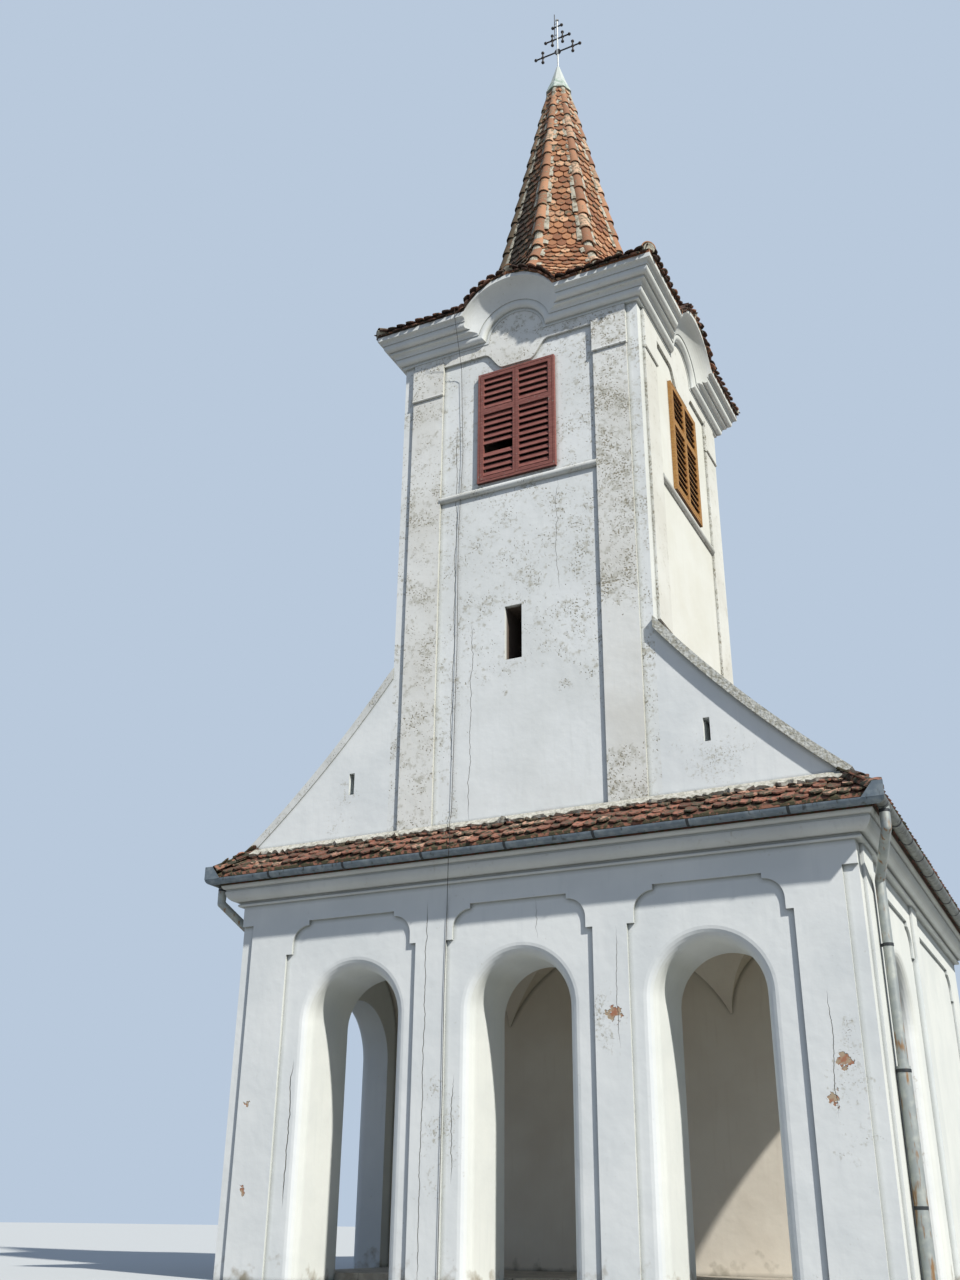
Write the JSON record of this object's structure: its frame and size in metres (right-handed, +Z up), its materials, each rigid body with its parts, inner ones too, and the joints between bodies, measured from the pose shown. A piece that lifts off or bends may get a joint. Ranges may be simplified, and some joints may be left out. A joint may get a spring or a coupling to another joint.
{
  "type": "church bell tower",
  "caption": "Whitewashed bell tower with a tiled octagonal spire, louvred belfry shutters and a vaulted porch with open arches.",
  "frame": {"origin": "on the ground, under the tower's vertical axis", "axes": "+Z up, -Y towards the front with its arches, +X to the right as seen from the front"},
  "size_m": [10.392, 9.696, 25.402],
  "materials": {
    "limewash": "matt limewash",
    "roughcast": "weathered roughcast",
    "moulded_plaster": "matt limewash",
    "floor_stone": "worn",
    "old_roof_tile": "mossy clay",
    "spire_tile": "clay",
    "hip_tile": "clay in mortar",
    "coping_mortar": "rough mortar",
    "cap_mortar": "pale green stain",
    "zinc": "dull zinc",
    "pipe_zinc": "weathered zinc",
    "red_shutter": "flat red-brown paint",
    "ochre_shutter": "ochre paint",
    "iron": "black iron"
  },
  "bodies": {
    "root": {"porch_floor": "floor_stone", "porch_front_wall": "limewash", "porch_back_wall": "limewash", "left_porch_wall": "limewash", "right_porch_wall": "limewash", "left_nave_wall": "limewash", "right_nave_wall": "limewash", "party_wall": "limewash", "porch_vault": "limewash", "front_pilasters": "roughcast", "left_pilasters": "roughcast", "right_pilasters": "roughcast", "porch_cornice_front": "moulded_plaster", "porch_cornice_left": "moulded_plaster", "porch_cornice_right": "moulded_plaster", "eave_skirt": "old_roof_tile", "nave_roof_left": "old_roof_tile", "nave_roof_right": "old_roof_tile", "nave_ridge": "old_roof_tile", "left_wing": "limewash", "right_wing": "limewash", "left_coping": "coping_mortar", "right_coping": "coping_mortar", "gutter_front": "zinc", "gutter_sides": "zinc", "downpipes": "pipe_zinc", "tower_front_wall": "roughcast", "tower_right_wall": "limewash", "tower_back_wall": "limewash", "tower_left_wall": "roughcast", "tower_pilasters": "roughcast", "belfry_sills": "moulded_plaster", "tower_cornice_front": "moulded_plaster", "tower_cornice_right": "moulded_plaster", "tower_cornice_back": "moulded_plaster", "tower_cornice_left": "moulded_plaster", "front_shutter": "red_shutter", "right_shutter": "ochre_shutter", "back_shutter": "red_shutter", "left_shutter": "ochre_shutter", "spire_foot": "spire_tile", "spire_shaft": "spire_tile", "spire_hips": "hip_tile", "spire_cap": "cap_mortar", "cross": "iron"}
  },
  "joints": []
}
